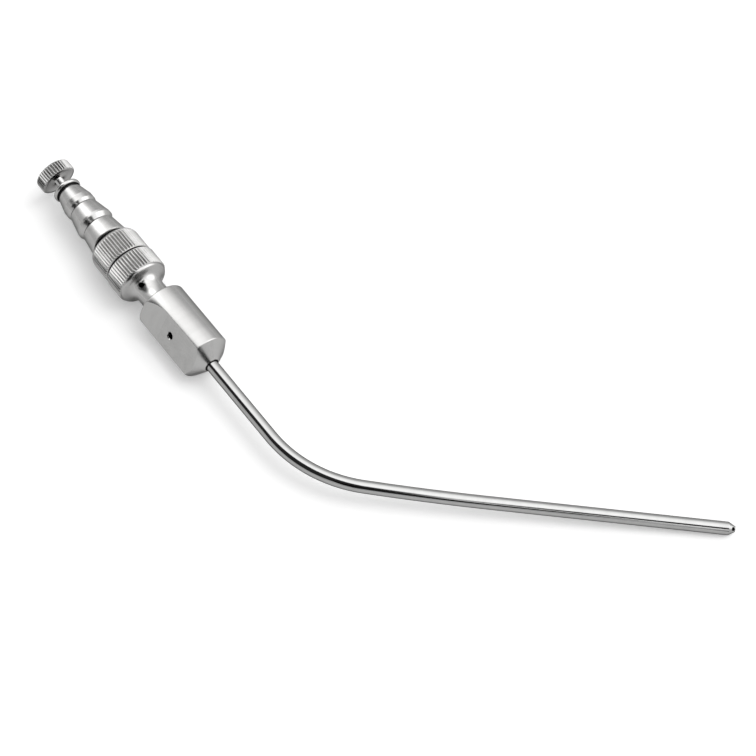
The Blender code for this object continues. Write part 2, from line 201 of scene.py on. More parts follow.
def ring_steps(count_around):
    """For each vertex of a ring, its step from the nearest crest."""
    return [min(i % PER_RIDGE, PER_RIDGE - i % PER_RIDGE) for i in range(count_around)]


def pull_ring(piece, ring, x, wanted, had):
    """Scales the vertices of a ring towards the axis, step by step of the ridges."""
    changes = {}
    for step, (new, old) in enumerate(zip(wanted, had)):
        changes.setdefault(round(new / old, 9), []).append(step)
    for scale, steps in changes.items():
        if scale == 1:
            continue
        mesh = bmesh.from_edit_mesh(piece.data)
        mesh.verts.ensure_lookup_table()
        bpy.ops.mesh.select_all(action="DESELECT")
        for index, step in zip(ring, ring_steps(len(ring))):
            mesh.verts[index].select_set(step in steps)
        bmesh.update_edit_mesh(piece.data)
        bpy.ops.transform.resize(value=(1, scale, scale), center_override=(x * MM, 0, 0))


def select_ring(piece, ring):
    """Selects the vertices of one ring."""
    bpy.ops.mesh.select_all(action="DESELECT")
    mesh = bmesh.from_edit_mesh(piece.data)
    mesh.verts.ensure_lookup_table()
    for index in ring:
        mesh.verts[index].select_set(True)
    mesh.select_flush(True)
    bmesh.update_edit_mesh(piece.data)


# %% Knurled shapes


def knurled(name, outline, ridges, crest, through=True):
    """Turned about +X like a blank, with ridges wherever the outline reaches beyond their section.

    The outline closes on itself round a bore that runs through. Otherwise both its ends are filled.
    """
    section = ridge_section(crest)
    x, r = outline[0]
    around = ridges * PER_RIDGE
    bpy.ops.object.select_all(action="DESELECT")
    bpy.ops.mesh.primitive_circle_add(
        vertices=around, radius=r * MM, location=(x * MM, 0, 0), rotation=(0, math.pi / 2, 0)
    )
    piece = bpy.context.object
    piece.name = piece.data.name = name
    bpy.ops.object.transform_apply(location=True, rotation=True, scale=False)
    bpy.ops.object.mode_set(mode="EDIT")
    bpy.ops.mesh.select_mode(type="VERT")
    bpy.ops.mesh.select_all(action="SELECT")
    had = [r] * len(section)
    for x_next, r_next in outline[1:] + outline[: int(through)]:
        step = ((x_next - x) * MM, 0, 0)
        bpy.ops.mesh.extrude_region_move(TRANSFORM_OT_translate={"value": step})
        mesh = bmesh.from_edit_mesh(piece.data)
        fresh = [v for v in mesh.verts if v.select]
        fresh.sort(key=lambda v: math.atan2(v.co.z, v.co.y) % ALMOST_FULL_TURN)
        ring = [v.index for v in fresh]
        wanted = [min(r_next, reach) for reach in section]
        pull_ring(piece, ring, x_next, wanted, had)
        select_ring(piece, ring)
        x, had = x_next, wanted
    if not through:
        bpy.ops.mesh.select_all(action="SELECT")
        bpy.ops.mesh.fill_holes(sides=0)
    close_up(piece, KNURL_SMOOTH)
    return piece


def chamfer(x0, r0, x1, r1, steps=8):
    """Points of a straight slope, close enough together for the ends of the ridges."""
    return [(x0 + (x1 - x0) * i / steps, r0 + (r1 - r0) * i / steps) for i in range(steps + 1)]


# %% [markdown]
# ## Measures
#
# The main sizes are those of the CAD model, in millimetres, with the tool on +X and the front edge of
# the grip at zero. The lengths come first, because each piece begins where its neighbour ends, and then
# the few radii at which pieces meet. What belongs to one piece alone is named beside it.

# %% Lengths
NOSE_LENGTH = 2.5
GRIP_LENGTH = 18.0
NECK_LENGTH = 6.7
COLLAR_LENGTH = 6.2
COLLAR_GROOVE = 0.4
REAR_COLLAR_LENGTH = 7.2
COLLAR_UNDERCUT = 0.5
CONE_LENGTHS = (5.95, 6.35, 5.2)
LIP_GROOVE = 0.5
LIP_WIDTH = 1.1
KNOB_DISTANCE = 3.0
TUBE_SOCKET_DEPTH = 8.0

GRIP_REAR = -GRIP_LENGTH
COLLAR_FRONT = GRIP_REAR - NECK_LENGTH
COLLAR_REAR = COLLAR_FRONT - COLLAR_LENGTH
REAR_COLLAR_FRONT = COLLAR_REAR - COLLAR_GROOVE
REAR_COLLAR_REAR = REAR_COLLAR_FRONT - REAR_COLLAR_LENGTH
CONES_FRONT = REAR_COLLAR_REAR - COLLAR_UNDERCUT
CONES_REAR = CONES_FRONT - sum(CONE_LENGTHS)
LIP_FRONT = CONES_REAR - LIP_GROOVE
LIP_REAR = LIP_FRONT - LIP_WIDTH
KNOB_FRONT = LIP_REAR - KNOB_DISTANCE
TUBE_REAR = NOSE_LENGTH - TUBE_SOCKET_DEPTH
print(f"connector from {LIP_REAR:.1f} to {REAR_COLLAR_FRONT:.1f} mm")
print(f"grip from {COLLAR_REAR:.1f} to {NOSE_LENGTH} mm")

# %% Radii that pieces share
COLLAR_RADIUS = 6.43
REAR_COLLAR_RADIUS = 6.27
SEAT_RADIUS = 5.3
COLLAR_UNDERCUT_RADIUS = 4.2
NECK_RADIUS = 3.5
CONNECTOR_BORE = 2.2
GRIP_BORE = 1.6
TUBE_RADIUS = 1.5
INSIDE_COLLAR = 1.0
print(f"tube {2 * TUBE_RADIUS} mm, collars {2 * COLLAR_RADIUS} and {2 * REAR_COLLAR_RADIUS} mm across")

# %% [markdown]
# ## The hose connector
#
# A rubber hose is pushed over a rounded lip and three cones that step like barbs. The outline is
# drawn from the lip forwards and comes back through the bore, so the part is hollow like the real one.
# The front of each rim slopes over most of a millimetre, down into a narrow groove at the foot of the
# next cone. That slope carries a bright band on one side of the tool and a black one on the other.

# %% Outline of a cone
CONE_START_RADII = (3.14, 3.76, 4.28)
CONE_END_RADII = (3.93, 4.68, 4.87)
CONE_LANDS = (2.0, 1.4, 0.3)
CONE_EDGE = 0.28
RIM_SLOPES = (0.72, 1.08, CONE_EDGE)
RIM_STEP = 0.05
BARB_GROOVE_DEPTH = 0.35
BARB_GROOVE_WIDTH = 0.22
GROOVE_LIP = ((0.05, 0.08), (0.15, 0.0))


def cone(rear, start_radius, end_radius, length, land, slope, bottom):
    """Outline of one cone: the groove at its foot, the cone, a short land and the slope of its rim."""
    front = rear + length
    foot = rear + BARB_GROOVE_WIDTH
    points = [(rear, start_radius - BARB_GROOVE_DEPTH), (foot, start_radius - BARB_GROOVE_DEPTH)]
    points += [(foot + ahead, start_radius - below) for ahead, below in GROOVE_LIP]
    points += [(front - land - CONE_EDGE, end_radius)]
    points += [(front - slope, end_radius), (front, bottom)]
    return points


rim_bottoms = [radius - BARB_GROOVE_DEPTH + RIM_STEP for radius in CONE_START_RADII[1:]]
rim_bottoms.append(CONE_END_RADII[-1] - CONE_EDGE)
print("rims slope down to radii of", [round(radius, 2) for radius in rim_bottoms], "mm")

# %% Barbs
LIP_RADIUS = 3.52
LIP_EDGE = 0.45
LIP_GROOVE_RADIUS = 2.8
BORE_EDGE = 0.2
BARBS_SMOOTH = math.radians(9)

outline = arc(LIP_REAR + BORE_EDGE, CONNECTOR_BORE + BORE_EDGE, BORE_EDGE, 270, 180, 4)
outline += arc(LIP_REAR + LIP_EDGE, LIP_RADIUS - LIP_EDGE, LIP_EDGE, 180, 90, 12)
outline += arc(LIP_FRONT - LIP_EDGE, LIP_RADIUS - LIP_EDGE, LIP_EDGE, 90, 0, 12)
outline += [(LIP_FRONT, LIP_GROOVE_RADIUS), (CONES_REAR, LIP_GROOVE_RADIUS)]
cone_rear = CONES_REAR
rim_fronts = []
for sizes in zip(CONE_START_RADII, CONE_END_RADII, CONE_LENGTHS, CONE_LANDS, RIM_SLOPES, rim_bottoms):
    outline += cone(cone_rear, *sizes)
    cone_rear = outline[-1][0]
    rim_fronts.append(cone_rear)
barbs_front = REAR_COLLAR_FRONT - INSIDE_COLLAR
outline += [(CONES_FRONT, COLLAR_UNDERCUT_RADIUS), (barbs_front, COLLAR_UNDERCUT_RADIUS)]
outline += [(barbs_front, CONNECTOR_BORE)]
barbs = turned("barbs", outline, smooth=BARBS_SMOOTH)
count(barbs)

# %% [markdown]
# ## The two knurled collars
#
# The rear collar belongs to the connector and the front one to the grip, and a groove painted dark, as
# painted shade, parts them.
# Both are blanks with chamfered ends. The rear one has a smooth shoulder before its ridges begin. The
# smooth lip in front of the other one is turned with the neck, because it flows into it.

# %% Rear collar
COLLAR_RIDGES = 50
REAR_COLLAR_SHOULDER = 1.9
REAR_COLLAR_CHAMFER = 0.42
STRAIGHT_TO = 1.5
RING_OVERLAP = 0.2

ring_bore = COLLAR_UNDERCUT_RADIUS - RING_OVERLAP
shoulder = REAR_COLLAR_SHOULDER
chamfer_end = REAR_COLLAR_RADIUS - REAR_COLLAR_CHAMFER
outline = [(REAR_COLLAR_REAR, ring_bore)]
outline += arc(REAR_COLLAR_REAR + shoulder, REAR_COLLAR_RADIUS - shoulder, shoulder, 165, 90, 24)
outline += [(REAR_COLLAR_FRONT - STRAIGHT_TO, REAR_COLLAR_RADIUS)]
outline += chamfer(
    REAR_COLLAR_FRONT - REAR_COLLAR_CHAMFER, REAR_COLLAR_RADIUS, REAR_COLLAR_FRONT, chamfer_end
)
outline += [(REAR_COLLAR_FRONT, SEAT_RADIUS), (COLLAR_REAR, SEAT_RADIUS), (COLLAR_REAR, ring_bore)]
rear_collar = knurled("rear_collar", outline, COLLAR_RIDGES, REAR_COLLAR_RADIUS)
count(rear_collar)

# %% Front collar
COLLAR_REAR_CHAMFER = 0.35
COLLAR_FRONT_EDGE = 0.75
COLLAR_LIP_DROP = 0.03
RIDGE_SINK = 0.02
STRAIGHT_FROM = 3.0

lip_radius = COLLAR_RADIUS - KNURL_DEPTH - COLLAR_LIP_DROP
lip_start = COLLAR_FRONT - COLLAR_FRONT_EDGE
chamfer_end = COLLAR_REAR + COLLAR_REAR_CHAMFER
outline = [(COLLAR_REAR, NECK_RADIUS)]
outline += chamfer(COLLAR_REAR, COLLAR_RADIUS - COLLAR_REAR_CHAMFER, chamfer_end, COLLAR_RADIUS)
outline += [(COLLAR_REAR + STRAIGHT_FROM, COLLAR_RADIUS)]
outline += chamfer(lip_start - KNURL_DEPTH, COLLAR_RADIUS, lip_start, lip_radius - RIDGE_SINK, 10)
outline += [(lip_start, NECK_RADIUS)]
front_collar = knurled("front_collar", outline, COLLAR_RIDGES, COLLAR_RADIUS)
count(front_collar)

# %% [markdown]
# ## The grip
#
# The blank is turned first: the lip of the collar, the waisted neck, the cylinder and the blunt nose,
# with the bore through them. The neck falls steeply from the collar and rises slowly to the cylinder,
# so its two halves are two power curves that meet in the waist.

# %% Curve of the neck
NECK_FRONT_RADIUS = 4.1
NECK_WAIST = 3.3
NECK_FALL = 3.8
NECK_RISE = 2
NECK_STEPS = 24


def neck(rear, rear_radius):
    """Outline of the neck, from a given point at the collar to the cylinder of the grip."""
    waist = GRIP_REAR - NECK_WAIST
    points = []
    for i in range(1, NECK_STEPS + 1):
        x = rear + (GRIP_REAR - rear) * i / NECK_STEPS
        if x < waist:
            share = (waist - x) / (waist - rear)
            rise = (rear_radius - NECK_RADIUS) * share**NECK_FALL
        else:
            share = (x - waist) / NECK_WAIST
            rise = (NECK_FRONT_RADIUS - NECK_RADIUS) * share**NECK_RISE
        points.append((x, NECK_RADIUS + rise))
    return points


print(f"waist {2 * NECK_RADIUS} mm across, {NECK_WAIST} mm behind the cylinder")

# %% Blank of the grip
GRIP_RADIUS = 6.12
GRIP_EDGE = 0.45
GRIP_SEGMENTS = 256
LIP_OVERLAP = 0.1
LIP_TURNS_TO = 30
NOSE_EDGE = 0.35
NOSE_EDGE_TURNS_TO = 31
NOSE_END_RADIUS = 1.95
NOSE_END_EDGE = (0.1, 0.12)
JOINT_RADIUS = TUBE_RADIUS + 0.3

grip_start = COLLAR_REAR + INSIDE_COLLAR
outline = [(grip_start, GRIP_BORE), (grip_start, NECK_RADIUS), (lip_start - LIP_OVERLAP, NECK_RADIUS)]
outline += [(lip_start - LIP_OVERLAP, lip_radius)]
outline += arc(lip_start, lip_radius - COLLAR_FRONT_EDGE, COLLAR_FRONT_EDGE, 90, LIP_TURNS_TO, 8)
outline += neck(*outline[-1])
outline += arc(GRIP_REAR + GRIP_EDGE, GRIP_RADIUS - GRIP_EDGE, GRIP_EDGE, 180, 90)
outline += arc(-NOSE_EDGE, GRIP_RADIUS - NOSE_EDGE, NOSE_EDGE, 90, NOSE_EDGE_TURNS_TO)
outline += [(NOSE_LENGTH - NOSE_END_EDGE[0], NOSE_END_RADIUS + NOSE_END_EDGE[1])]
outline += [(NOSE_LENGTH, NOSE_END_RADIUS), (NOSE_LENGTH, JOINT_RADIUS), (NOSE_LENGTH, TUBE_RADIUS)]
outline += [(TUBE_REAR, TUBE_RADIUS), (TUBE_REAR, GRIP_BORE)]
grip = turned("grip_body", outline, GRIP_SEGMENTS)
count(grip)

# %% [markdown]
# A block with one edge rounded like the milling cutter takes off the two flats, and two drills open the
# vent holes, each with a small countersink. Booleans suit this, because that is how the real part is
# cut. Every cutter is made upright, turned to its side of the tool, used once and removed.

# %% Cutting
MILL_STEPS = 96
MILL_WIDTH = 20
BEYOND = 2
FLAT_DISTANCE = 4.3
FLAT_RUN_OUT = 7.3
FLAT_CUTTER_RADIUS = 20.0
FLAT_TURN = math.radians(25.5)


def rounded_block(name):
    """Block whose rear lower edge has the round of the milling cutter. It mills a flat facing +Z."""
    low, high = FLAT_DISTANCE, FLAT_DISTANCE + FLAT_CUTTER_RADIUS + BEYOND
    rear, front = GRIP_REAR + FLAT_RUN_OUT - FLAT_CUTTER_RADIUS, NOSE_LENGTH + BEYOND
    bpy.ops.object.select_all(action="DESELECT")
    bpy.ops.mesh.primitive_cube_add(size=1, location=((rear + front) / 2 * MM, 0, (low + high) / 2 * MM))
    block = bpy.context.object
    block.name = name
    block.scale = ((front - rear) * MM, MILL_WIDTH * MM, (high - low) * MM)
    bpy.ops.object.transform_apply(location=True, rotation=False, scale=True)
    bpy.ops.object.mode_set(mode="EDIT")
    bpy.ops.mesh.select_mode(type="EDGE")
    bpy.ops.mesh.select_all(action="DESELECT")
    mesh = bmesh.from_edit_mesh(block.data)
    for edge in mesh.edges:
        ends = [v.co for v in edge.verts]
        edge.select_set(all(abs(p.x - rear * MM) < MERGE and abs(p.z - low * MM) < MERGE for p in ends))
    bmesh.update_edit_mesh(block.data)
    bpy.ops.mesh.bevel(
        offset=FLAT_CUTTER_RADIUS * MM, offset_type="OFFSET", segments=MILL_STEPS, profile=0.5
    )
    bpy.ops.object.mode_set(mode="OBJECT")
    return block


def outwards(turn):
    """Turn that brings +Z to a direction the given angle above the -Y side, about the tool's axis."""
    return Matrix.Rotation(math.pi / 2 - turn, 4, "X")


def take_away(piece, cutter):
    """Cuts with a Boolean, applies it and removes the cutter."""
    only(piece)
    cut = piece.modifiers.new("cut", "BOOLEAN")
    cut.operation = "DIFFERENCE"
    cut.solver = "EXACT"
    cut.object = cutter
    bpy.ops.object.modifier_apply(modifier=cut.name)
    bpy.data.objects.remove(cutter, do_unlink=True)


# %% Flats
for side in (0, math.pi):
    block = rounded_block("mill")
    put(block, outwards(FLAT_TURN + side))
    take_away(grip, block)
count(grip)

# %% Holes
DRILL_SEGMENTS = 48
COUNTERSINK = 1
VENT_RADIUS = 0.85
VENT_FROM_FRONT = 8.6
VENT_SINK_AT = FLAT_DISTANCE - 0.16
NECK_HOLE_RADIUS = 0.7
NECK_HOLE_FROM_FRONT = 23.0
NECK_HOLE_SINK_AT = 4.6
NECK_HOLE_TURN = math.radians(60)
CUTS_SMOOTH = math.radians(20)


def drill(name, radius, from_front, turn, sunk_at):
    """Cuts a hole from the axis outwards, with a countersink that starts at the given height."""
    top = sunk_at + COUNTERSINK
    outline = [(0, 0), (0, radius), (sunk_at, radius), (top, radius + COUNTERSINK), (top, 0)]
    cutter = turned(name, outline, DRILL_SEGMENTS)
    upright = outwards(turn) @ Matrix.Rotation(-math.pi / 2, 4, "Y")
    put(cutter, Matrix.Translation((-from_front * MM, 0, 0)) @ upright)
    take_away(grip, cutter)


drill("vent_drill", VENT_RADIUS, VENT_FROM_FRONT, FLAT_TURN, VENT_SINK_AT)
drill("neck_drill", NECK_HOLE_RADIUS, NECK_HOLE_FROM_FRONT, NECK_HOLE_TURN, NECK_HOLE_SINK_AT)
only(grip)
bpy.ops.object.shade_smooth_by_angle(angle=CUTS_SMOOTH)
count(grip)

# %% [markdown]
# ## The suction tube
#
# The tube is bent once over a former, and then eases into its long straight end. A circle is extruded
# straight, carried round the bend with Spin, and extruded again, as the tube itself was made. The same
# run with a smaller circle gives the bore. Its faces look inwards before the two skins are joined, and
# Bridge Edge Loops then closes the wall at both ends.

# %% Run of the tube
TUBE_SEGMENTS = 64
TUBE_STRAIGHT = 22.8
TUBE_BEND_RADIUS = 31.8
TUBE_BEND = math.radians(44.4)
TUBE_EASE_RADIUS = 600.0
TUBE_EASE = math.radians(2.7)
TUBE_FRONT = 54.0
TIP_TAPER = 1.5
TIP_STEPS = 6
BEND_STEPS = 60
EASE_STEPS = 12


def move_ring(step):
    """Extrudes what is selected by a step in millimetres."""
    bpy.ops.mesh.extrude_region_move(TRANSFORM_OT_translate={"value": tuple(v * MM for v in step)})


def tube_skin(name, radius, tip_radius, inside):
    """One skin of the tube, from its rear end in the grip to the tip, tapered towards tip_radius."""
    bpy.ops.object.select_all(action="DESELECT")
    start = (TUBE_REAR * MM, 0, 0)
    bpy.ops.mesh.primitive_circle_add(
        vertices=TUBE_SEGMENTS, radius=radius * MM, location=start, rotation=(0, math.pi / 2, 0)
    )
    piece = bpy.context.object
    piece.name = name
    bpy.ops.object.transform_apply(location=True, rotation=True, scale=False)
    bpy.ops.object.mode_set(mode="EDIT")
    bpy.ops.mesh.select_mode(type="VERT")
    bpy.ops.mesh.select_all(action="SELECT")
    centre = Vector((TUBE_REAR, 0, 0))
    heading = 0.0
    for length, bend_radius, bend, steps in (
        (NOSE_LENGTH + TUBE_STRAIGHT - TUBE_REAR, TUBE_BEND_RADIUS, TUBE_BEND, BEND_STEPS),
        (0, TUBE_EASE_RADIUS, TUBE_EASE, EASE_STEPS),
    ):
        along = Vector((math.cos(heading), math.sin(heading), 0))
        if length:
            move_ring(along * length)
            centre += along * length
        side = Vector((-along.y, along.x, 0))
        middle = centre + side * bend_radius
        bpy.ops.mesh.spin(steps=steps, angle=-bend, center=tuple(middle * MM), axis=(0, 0, 1))
        centre = middle + Matrix.Rotation(bend, 3, "Z") @ (centre - middle)
        heading += bend
    along = Vector((math.cos(heading), math.sin(heading), 0))
    move_ring(along * (TUBE_FRONT - TIP_TAPER))
    centre += along * (TUBE_FRONT - TIP_TAPER)
    size = radius
    for i in range(TIP_STEPS):
        move_ring(along * (TIP_TAPER / TIP_STEPS))
        centre += along * (TIP_TAPER / TIP_STEPS)
        new_size = size + (tip_radius - radius) / TIP_STEPS
        bpy.ops.transform.resize(value=(new_size / size,) * 3, center_override=tuple(centre * MM))
        size = new_size
    bpy.ops.mesh.select_all(action="SELECT")
    bpy.ops.mesh.remove_doubles(threshold=MERGE)
    bpy.ops.mesh.normals_make_consistent(inside=inside)
    bpy.ops.object.mode_set(mode="OBJECT")
    return piece, centre, along


print(f"bent by {math.degrees(TUBE_BEND + TUBE_EASE):.1f} degrees in all")

# %% Tube
TUBE_BORE = 1.0
TIP_RADIUS = 0.65
TIP_BORE = 0.42

tube, tip, tip_heading = tube_skin("tube", TUBE_RADIUS, TIP_RADIUS, inside=False)
bore, _, _ = tube_skin("tube_bore", TUBE_BORE, TIP_BORE, inside=True)
only(tube)
bore.select_set(True)
bpy.ops.object.join()
bpy.ops.object.mode_set(mode="EDIT")
bpy.ops.mesh.select_mode(type="EDGE")
for rear_end in (True, False):
    bpy.ops.mesh.select_all(action="DESELECT")
    mesh = bmesh.from_edit_mesh(tube.data)
    for edge in mesh.edges:
        edge.select_set(edge.is_boundary and all((v.co.x < 0) == rear_end for v in edge.verts))
    bmesh.update_edit_mesh(tube.data)
    bpy.ops.mesh.bridge_edge_loops()
bpy.ops.object.mode_set(mode="OBJECT")
count(tube)

# %% [markdown]
# The mouth of the tip isn't square to the tube. It opens a little upwards, through the slope of the
# taper, so it shows as a small black eye. A slanted drill makes it, from the bore outwards.

# %% Mouth of the tip
MOUTH_RADIUS = 0.43
MOUTH_DEPTH = 0.98
MOUTH_SLANT = math.radians(62)
MOUTH_SIDE = Vector((0.36, -0.336, 0.87)).normalized()
MOUTH_DRILL_LENGTH = 4
TUBE_SMOOTH = math.radians(25)

mouth_start = tip - tip_heading * MOUTH_DEPTH
mouth_heading = tip_heading * math.cos(MOUTH_SLANT) + MOUTH_SIDE * math.sin(MOUTH_SLANT)
drill_outline = [(0, 0), (0, MOUTH_RADIUS), (MOUTH_DRILL_LENGTH, MOUTH_RADIUS), (MOUTH_DRILL_LENGTH, 0)]
mouth_drill = turned("mouth_drill", drill_outline, DRILL_SEGMENTS)
slant = Vector((1, 0, 0)).rotation_difference(mouth_heading).to_matrix().to_4x4()
put(mouth_drill, Matrix.Translation(mouth_start * MM) @ slant)
take_away(tube, mouth_drill)
only(tube)
bpy.ops.object.shade_smooth_by_angle(angle=TUBE_SMOOTH)
count(tube)

# %% [markdown]
# ## The stylet's knob
#
# The cleaning wire ends in a knurled knob on a thin stem. It only rests in the connector, so it leans:
# its nose droops and it looks a little to one side. It is made on the axis like the others, and the
# lean comes last.

# %% Sizes of the knob
KNOB_RADIUS = 4.6
KNOB_LENGTH = 3.0
KNOB_RIDGES = 38
KNOB_REAR_DISC = 0.4
KNOB_REAR_DROP = KNURL_DEPTH + 0.1
KNOB_REAR_CHAMFER = 0.35
KNOB_REAR_EASE = (0.1, 0.02)
KNOB_CHAMFER = 0.2
KNOB_EASE = (0.15, 0.03)
KNOB_CHAMFER_STEPS = 6
KNOB_FACE_RADIUS = 3.75
KNOB_FACE_DEPTH = 0.3
KNOB_FACE_EDGE = 0.08
KNOB_DROOP = math.radians(9.1)
KNOB_SWING = math.radians(3.3)
STEM_RADIUS = 1.1
STEM_EDGE = 0.3
STEM_FOOT = 0.15
STEM_CLEARANCE = 0.06
WIRE_SOCKET_RADIUS = 0.45
WIRE_SOCKET_DEPTH = 3.0

lean = math.acos(math.cos(KNOB_SWING) * math.cos(KNOB_DROOP))
stem_front = STEM_EDGE + (CONNECTOR_BORE - STEM_CLEARANCE - STEM_RADIUS * math.cos(lean)) / math.sin(lean)
print(f"leaning by {math.degrees(lean):.1f} degrees, the stem meets the bore after {stem_front:.1f} mm")

# %% Knob
rear = -KNOB_LENGTH
chamfer_end = rear + KNOB_REAR_CHAMFER
behind, drop = KNOB_REAR_EASE
outline = [(rear, KNOB_REAR_DISC)]
outline += chamfer(
    rear, KNOB_RADIUS - KNOB_REAR_DROP, chamfer_end, KNOB_RADIUS - drop, KNOB_CHAMFER_STEPS
)
outline += [(chamfer_end + behind, KNOB_RADIUS)]
before, drop = KNOB_EASE
root = KNOB_RADIUS - KNURL_DEPTH - RIDGE_SINK
outline += [(-KNOB_CHAMFER - before, KNOB_RADIUS)]
outline += chamfer(-KNOB_CHAMFER, KNOB_RADIUS - drop, 0, root, KNOB_CHAMFER_STEPS)
outline += arc(-KNOB_FACE_EDGE, KNOB_FACE_RADIUS + KNOB_FACE_EDGE, KNOB_FACE_EDGE, 60, -30, 2)
outline += [(-KNOB_FACE_DEPTH, KNOB_FACE_RADIUS - KNOB_FACE_DEPTH)]
outline += [(-KNOB_FACE_DEPTH, STEM_RADIUS + STEM_FOOT)]
outline += [(-KNOB_FACE_DEPTH + STEM_FOOT, STEM_RADIUS), (stem_front - STEM_EDGE, STEM_RADIUS)]
outline += [(stem_front, STEM_RADIUS - STEM_EDGE), (stem_front, WIRE_SOCKET_RADIUS)]
outline += [(stem_front - WIRE_SOCKET_DEPTH, WIRE_SOCKET_RADIUS)]
knob = knurled("knob", outline, KNOB_RIDGES, KNOB_RADIUS, through=False)
ASKEW = Matrix.Rotation(KNOB_SWING, 4, "Z") @ Matrix.Rotation(KNOB_DROOP, 4, "Y")
LEAN = Matrix.Translation((KNOB_FRONT * MM, 0, 0)) @ ASKEW
put(knob, LEAN)
count(knob)

# %% [markdown]
# ## Laying the pieces down
#
# Every piece is turned into its resting place, rides on the one body of this rigid tool, and stands for
# the plain solid that it refines. The wire hardly shows, only through the small holes, so its solid
# stays and gets a finish.

# %% Ride and replace
STANDS_FOR = {
    barbs: ("hose_connector", "connector_steel"),
    rear_collar: ("hose_connector", "connector_steel"),
    grip: ("grip", "grip_steel"),
    front_collar: ("grip", "grip_steel"),
    tube: ("suction_tube", "tube_steel"),
    knob: ("stylet_knob", "knob_steel"),
}
for piece, (node, slot) in STANDS_FOR.items():
    put(piece, LYING)
    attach(piece, "root")
    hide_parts(node)
print("pieces:", ", ".join(piece.name for piece in STANDS_FOR))

# %% [markdown]
# ## Steel
#
# All of it is stainless steel, but each tool left its own marks. The lathe left fine rings round the
# axis, the mill left short strokes on the flats, and the tube was drawn and polished lengthwise. Every
# pattern is the same fine noise, stretched another way, so it is one node group. A second group turns a
# place on the tool into a place on the lathe's profile: how far along the axis, and how far from it.
# Nodes are added with one short helper, so that a material reads like a recipe.

# %% Node helpers


def new_node(tree, kind, inputs=None, **options):
    """Adds a node, sets its options, and fills its inputs with numbers or with links."""
    node = tree.nodes.new("ShaderNode" + kind)
    for name, value in options.items():
        setattr(node, name, value)
    for name, value in (inputs or {}).items():
        if isinstance(value, bpy.types.NodeSocket):
            tree.links.new(value, node.inputs[name])
        else:
            node.inputs[name].default_value = value
    return node


def new_group(name, takes, gives):
    """Empty node group with named sockets. Returns it with its input and output nodes."""
    group = bpy.data.node_groups.new(name, "ShaderNodeTree")
    for way, sockets in (("INPUT", takes), ("OUTPUT", gives)):
        for socket, kind in sockets.items():
            group.interface.new_socket(socket, in_out=way, socket_type="NodeSocket" + kind)
    return group, group.nodes.new("NodeGroupInput"), group.nodes.new("NodeGroupOutput")


def ease(tree, value, low, high, at_low=0.0, at_high=1.0):
    """Eases from one number to another while a value goes from low to high."""
    numbers = {"Value": value, "From Min": low, "From Max": high, "To Min": at_low, "To Max": at_high}
    return new_node(tree, "MapRange", numbers, interpolation_type="SMOOTHSTEP").outputs[0]


# %% Lathe's profile and tool marks
lathe, taken, given = new_group(
    "lathe_profile", {"Position": "Vector"}, {"Profile": "Vector", "Radius": "Float"}
)
axes = new_node(lathe, "SeparateXYZ", {0: taken.outputs[0]}).outputs
across = new_node(lathe, "CombineXYZ", {"Y": axes["Y"], "Z": axes["Z"]}).outputs[0]
radius = new_node(lathe, "VectorMath", {0: across}, operation="LENGTH").outputs["Value"]
profile = new_node(lathe, "CombineXYZ", {"X": axes["X"], "Y": radius}).outputs[0]
lathe.links.new(profile, given.inputs["Profile"])
lathe.links.new(radius, given.inputs["Radius"])

marks, taken, given = new_group(
    "tool_marks",
    {"Position": "Vector", "Fineness": "Vector", "Haze Size": "Float"},
    {"Marks": "Float", "Haze": "Float"},
)
stretched = new_node(
    marks, "VectorMath", {0: taken.outputs["Position"], 1: taken.outputs["Fineness"]}, operation="MULTIPLY"
).outputs[0]
fine = new_node(marks, "TexNoise", {"Vector": stretched, "Scale": 1, "Detail": 3, "Roughness": 0.65})
haze = new_node(
    marks, "TexNoise", {"Vector": taken.outputs["Position"], "Scale": taken.outputs["Haze Size"], "Detail": 2}
)
marks.links.new(fine.outputs[0], given.inputs["Marks"])
marks.links.new(haze.outputs[0], given.inputs["Haze"])
print("groups so far:", ", ".join(group.name for group in bpy.data.node_groups))

# %% [markdown]
# The third group finds how deep in the knurl's grooves a point lies, from its radius. Hardly any light
# reaches the grooves, so their grey is painted dark, as painted shade, and the ridges keep the metal's
# grey. So does all that lies deeper than the grooves reach, such as the flat ends of the collars.

# %% Shade of the grooves
DARK_FROM, DARK_TO = 0.83, 1.24
BELOW_GROOVES_FROM, BELOW_GROOVES_TO = 1.1, 1.2

knurls, taken, given = new_group(
    "knurl_shade", {"Radius": "Float", "Crest": "Float", "Depth": "Float"}, {"Out Of Shade": "Float"}
)
below = new_node(
    knurls, "Math", {0: taken.outputs["Crest"], 1: taken.outputs["Radius"]}, operation="SUBTRACT"
).outputs[0]
share = new_node(knurls, "Math", {0: below, 1: taken.outputs["Depth"]}, operation="DIVIDE").outputs[0]
# Painted shade: the deeper a point lies in a groove, the darker its grey.
in_groove = ease(knurls, share, DARK_FROM, DARK_TO, 1, 0)
inside = ease(knurls, share, BELOW_GROOVES_FROM, BELOW_GROOVES_TO)
out_of_shade = new_node(knurls, "Math", {0: in_groove, 1: inside}, operation="MAXIMUM").outputs[0]
knurls.links.new(out_of_shade, given.inputs["Out Of Shade"])
print("groups:", ", ".join(group.name for group in bpy.data.node_groups))

# %% [markdown]
# ## Finishes
#
# A finish puts those groups together. The marks change the roughness and, through a Bump node, the
# surface. The slow haze changes the grey a little. A Bevel node rounds the light on edges that a real
# tool has broken, without more faces. Specular Tint darkens a metal where it is seen along its face.

